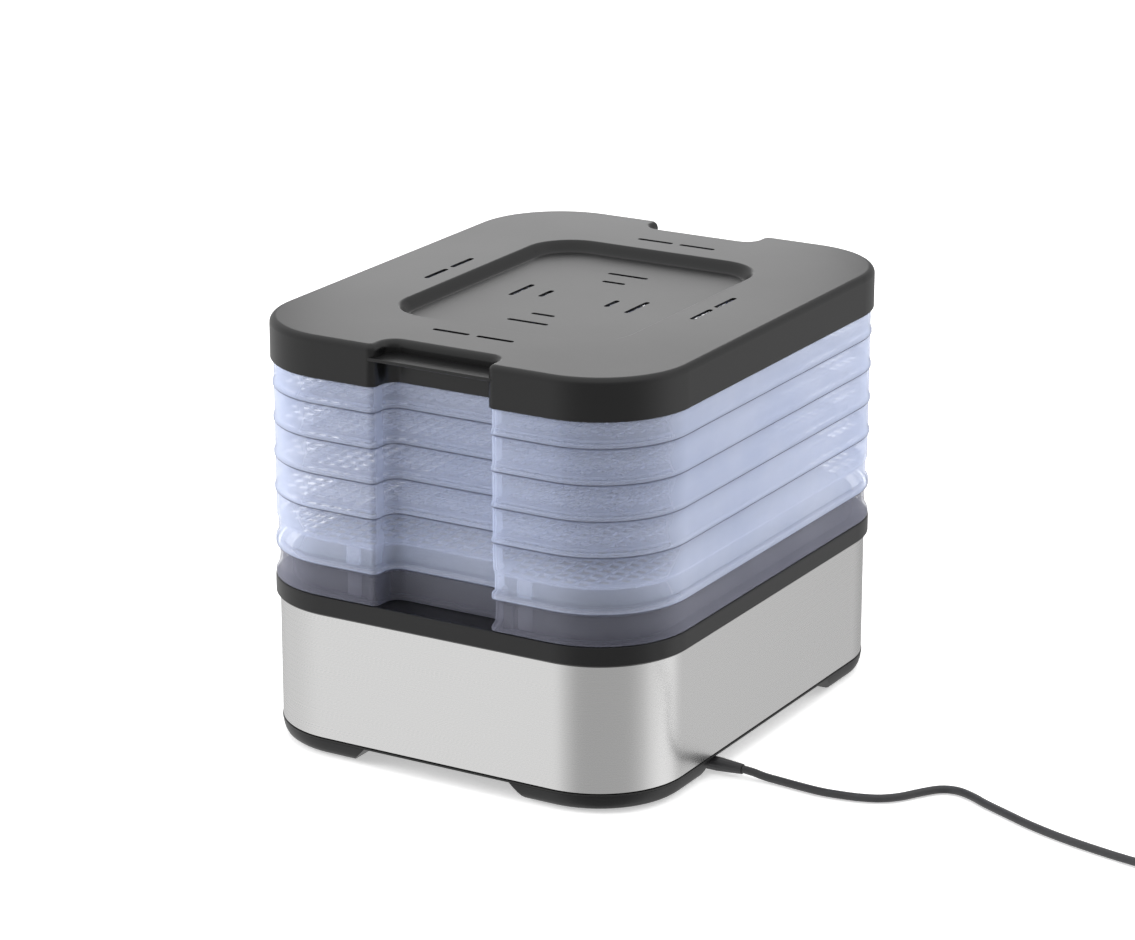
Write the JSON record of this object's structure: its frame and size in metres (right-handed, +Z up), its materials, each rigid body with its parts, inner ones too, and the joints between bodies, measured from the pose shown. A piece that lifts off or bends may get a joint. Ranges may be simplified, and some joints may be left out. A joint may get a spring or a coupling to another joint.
{
  "type": "food dehydrator",
  "caption": "Countertop food dehydrator: steel-wrapped fan and heater base, stack of clear lift-off trays and a vented black lid with finger notches.",
  "frame": {"origin": "on the floor under the middle of the appliance", "axes": "+Z up, +X along the long side towards one grip notch, -Y towards the control panel, +Y towards the cord"},
  "size_m": [0.341, 0.6456, 0.2635],
  "materials": {
    "steel": "fine vertical-lit brushed stainless sheet",
    "black_plastic": "satin moulded black",
    "lid_plastic": "satin moulded black, fine grain",
    "clear_plastic": "clear, faintly blue",
    "smoke_plastic": "clear with a smoke tint",
    "zinc_steel": "zinc plated",
    "mica": "mica board",
    "heater_wire": "oxidised resistance wire",
    "white_nylon": "natural nylon",
    "panel_plastic": "fine grain",
    "knob_plastic": "semi gloss",
    "lamp_lens": "amber lens",
    "cord_rubber": "matt PVC",
    "foot_rubber": "matt",
    "brown_lead": "PVC lead",
    "blue_lead": "PVC lead",
    "tie_plastic": "matt tie",
    "plated_brass": "nickel plated"
  },
  "bodies": {
    "base": {"steel_wrap": "steel", "base_pan": "black_plastic", "base_deck": "black_plastic", "outlet_grille": "black_plastic", "air_duct": "zinc_steel", "heater_frame": "mica", "heater_coil_inner": "heater_wire", "heater_coil_outer": "heater_wire", "thermal_cutout": "white_nylon", "motor_bracket": "zinc_steel", "fan_motor": "zinc_steel", "control_panel": "panel_plastic", "thermostat_body": "white_nylon", "pilot_lamp": "lamp_lens", "switch_body": "knob_plastic", "cord_gland": "cord_rubber", "cord_clamp": "white_nylon", "terminal_block": "white_nylon", "inner_cord": "cord_rubber", "switch_lead": "brown_lead", "thermostat_lead": "blue_lead", "power_cord": "cord_rubber", "cord_coil": "cord_rubber", "cord_tail": "cord_rubber", "cord_tie": "tie_plastic", "plug_body": "cord_rubber", "plug_pin_1": "plated_brass", "plug_pin_2": "plated_brass", "foot_pad_1": "foot_rubber", "pan_screw_1": "zinc_steel", "foot_pad_2": "foot_rubber", "pan_screw_2": "zinc_steel", "foot_pad_3": "foot_rubber", "pan_screw_3": "zinc_steel", "foot_pad_4": "foot_rubber", "pan_screw_4": "zinc_steel", "bracket_screw_1": "zinc_steel", "clamp_screw_1": "zinc_steel", "bracket_screw_2": "zinc_steel", "clamp_screw_2": "zinc_steel"},
    "fan": {"motor_shaft": "zinc_steel", "fan_impeller": "black_plastic"},
    "dial": {"temperature_knob": "knob_plastic", "knob_shaft": "zinc_steel"},
    "rocker": {"power_rocker": "knob_plastic"},
    "collar": {"collar_ring": "smoke_plastic"},
    "lid": {"lid": "lid_plastic"},
    "tray_1": {"tray_1": "clear_plastic", "tray_1_floor": "clear_plastic"},
    "tray_2": {"tray_2": "clear_plastic", "tray_2_floor": "clear_plastic"},
    "tray_3": {"tray_3": "clear_plastic", "tray_3_floor": "clear_plastic"},
    "tray_4": {"tray_4": "clear_plastic", "tray_4_floor": "clear_plastic"},
    "tray_5": {"tray_5": "clear_plastic", "tray_5_floor": "clear_plastic"}
  },
  "joints": [
    {"name": "fan_spin", "type": "hinge", "parent": "base", "child": "fan", "pos_m": [0, 0, 0.064], "axis": [0, 0, 1], "continuous": true},
    {"name": "dial_turn", "type": "hinge", "parent": "base", "child": "dial", "pos_m": [0.034, -0.145, 0.053], "axis": [0, -1, 0], "range_deg": [0, 270]},
    {"name": "rocker_tip", "type": "hinge", "parent": "base", "child": "rocker", "pos_m": [-0.038, -0.137, 0.053], "axis": [1, 0, 0], "range_deg": [0, 18]},
    {"name": "collar_lift", "type": "slide", "parent": "base", "child": "collar", "axis": [0, 0, 1], "range_m": [0, 0.08]},
    {"name": "tray_1_lift", "type": "slide", "parent": "collar", "child": "tray_1", "axis": [0, 0, 1], "range_m": [0, 0.08]},
    {"name": "tray_2_lift", "type": "slide", "parent": "tray_1", "child": "tray_2", "axis": [0, 0, 1], "range_m": [0, 0.08]},
    {"name": "tray_3_lift", "type": "slide", "parent": "tray_2", "child": "tray_3", "axis": [0, 0, 1], "range_m": [0, 0.08]},
    {"name": "tray_4_lift", "type": "slide", "parent": "tray_3", "child": "tray_4", "axis": [0, 0, 1], "range_m": [0, 0.08]},
    {"name": "tray_5_lift", "type": "slide", "parent": "tray_4", "child": "tray_5", "axis": [0, 0, 1], "range_m": [0, 0.08]},
    {"name": "lid_lift", "type": "slide", "parent": "tray_5", "child": "lid", "axis": [0, 0, 1], "range_m": [0, 0.1]}
  ]
}
